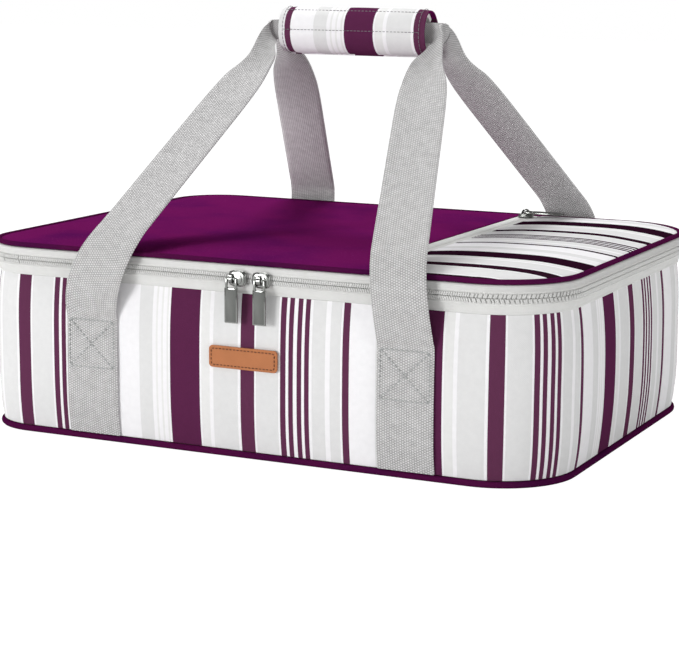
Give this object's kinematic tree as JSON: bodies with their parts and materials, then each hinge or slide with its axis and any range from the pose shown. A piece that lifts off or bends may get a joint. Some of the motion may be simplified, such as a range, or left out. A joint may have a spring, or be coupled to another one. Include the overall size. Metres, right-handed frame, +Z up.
{
  "type": "casserole carrier",
  "caption": "Soft insulated casserole carrier with a zipped lid, a lid pocket, webbing handles and a wrapped grip.",
  "frame": {"origin": "middle of the underside, on the surface it stands on", "axes": "+X along the long side to the right of someone facing the zip pulls, +Y to the back where the lid is hinged, +Z up"},
  "size_m": [0.4032, 0.32, 0.2739],
  "materials": {
    "striped_cloth": "woven stripe, matt",
    "plum_cloth": "smooth twill, slight sheen",
    "plum_trim": "woven binding",
    "zip_tape": "fine woven tape",
    "zip_coil": "moulded nylon",
    "webbing": "coarse woven webbing",
    "leather": "smooth tan",
    "steel": "dark nickel",
    "foam": "closed-cell foam",
    "foil_liner": "foil-faced film",
    "board": "plain sheet",
    "hook_loop": "hook and loop tape"
  },
  "bodies": {
    "case": {"outer_wall": "striped_cloth", "wall_insulation": "foam", "wall_liner": "foil_liner", "bottom_panel": "plum_trim", "bottom_piping": "plum_trim", "base_board": "board", "bottom_insulation": "foam", "floor_liner": "foil_liner", "lower_zip_tape": "zip_tape", "lower_zip_coil": "zip_coil", "hinge_strip": "zip_tape", "front_strap_foot_left": "webbing", "front_strap_foot_right": "webbing", "back_strap_foot_left": "webbing", "back_strap_foot_right": "webbing", "patch": "leather"},
    "lid": {"upper_zip_tape": "zip_tape", "upper_zip_coil": "zip_coil", "lid_back_strip": "zip_tape", "lid_piping": "plum_trim", "lid_panel": "plum_cloth", "pocket_panel": "striped_cloth", "pocket_tape_left": "zip_tape", "pocket_coil_left": "zip_coil", "pocket_tape_right": "zip_tape", "pocket_coil_right": "zip_coil", "lid_backing": "plum_cloth", "lid_insulation": "foam", "lid_liner": "foil_liner"},
    "front_handle": {"front_loop": "webbing", "grip_wrap": "striped_cloth", "grip_padding": "foam", "loop_strip": "hook_loop"},
    "back_handle": {"back_loop": "webbing"},
    "grip_flap": {"grip_flap": "striped_cloth", "hook_strip": "hook_loop"},
    "slider_left": {"zip_slider_left": "steel"},
    "slider_right": {"zip_slider_right": "steel"},
    "pull_left": {"zip_pull_left": "steel"},
    "pull_right": {"zip_pull_right": "steel"},
    "pocket_slider": {"pocket_slider": "steel"},
    "pocket_pull": {"pocket_pull": "steel"}
  },
  "joints": [
    {"name": "lid_hinge", "type": "hinge", "parent": "case", "child": "lid", "pos_m": [0, 0.1517, 0.1138], "axis": [-1, 0, 0], "range_deg": [0, 105]},
    {"name": "front_handle_fold", "type": "hinge", "parent": "case", "child": "front_handle", "pos_m": [0, -0.151, 0.08], "axis": [1, 0, 0], "range_deg": [0, 140], "deforming": ["front_loop"]},
    {"name": "back_handle_fold", "type": "hinge", "parent": "case", "child": "back_handle", "pos_m": [0, 0.151, 0.08], "axis": [-1, 0, 0], "range_deg": [0, 140], "deforming": ["back_loop"]},
    {"name": "grip_flap_open", "type": "hinge", "parent": "front_handle", "child": "grip_flap", "pos_m": [0, 0.0092, 0.2686], "axis": [1, 0, 0], "range_deg": [0, 140], "deforming": ["grip_flap"]},
    {"name": "slider_left_run", "type": "slide", "parent": "case", "child": "slider_left", "axis": [-1, 0, 0], "range_m": [0, 0.128]},
    {"name": "slider_right_run", "type": "slide", "parent": "case", "child": "slider_right", "axis": [1, 0, 0], "range_m": [0, 0.128]},
    {"name": "pull_left_swing", "type": "hinge", "parent": "slider_left", "child": "pull_left", "pos_m": [-0.0059, -0.1554, 0.1138], "axis": [1, 0, 0], "range_deg": [-165, 0]},
    {"name": "pull_right_swing", "type": "hinge", "parent": "slider_right", "child": "pull_right", "pos_m": [0.0135, -0.1554, 0.1138], "axis": [1, 0, 0], "range_deg": [-165, 0]},
    {"name": "pocket_slider_run", "type": "slide", "parent": "lid", "child": "pocket_slider", "axis": [0, -1, 0], "range_m": [0, 0.24]},
    {"name": "pocket_pull_swing", "type": "hinge", "parent": "pocket_slider", "child": "pocket_pull", "pos_m": [0.08, 0.124, 0.1292], "axis": [0, -1, 0], "range_deg": [0, 170]}
  ],
  "couplings": [
    {"joint": "front_handle_fold", "follows": "lid_hinge", "ratio": 1.3333},
    {"joint": "back_handle_fold", "follows": "lid_hinge", "ratio": 1.3333}
  ]
}
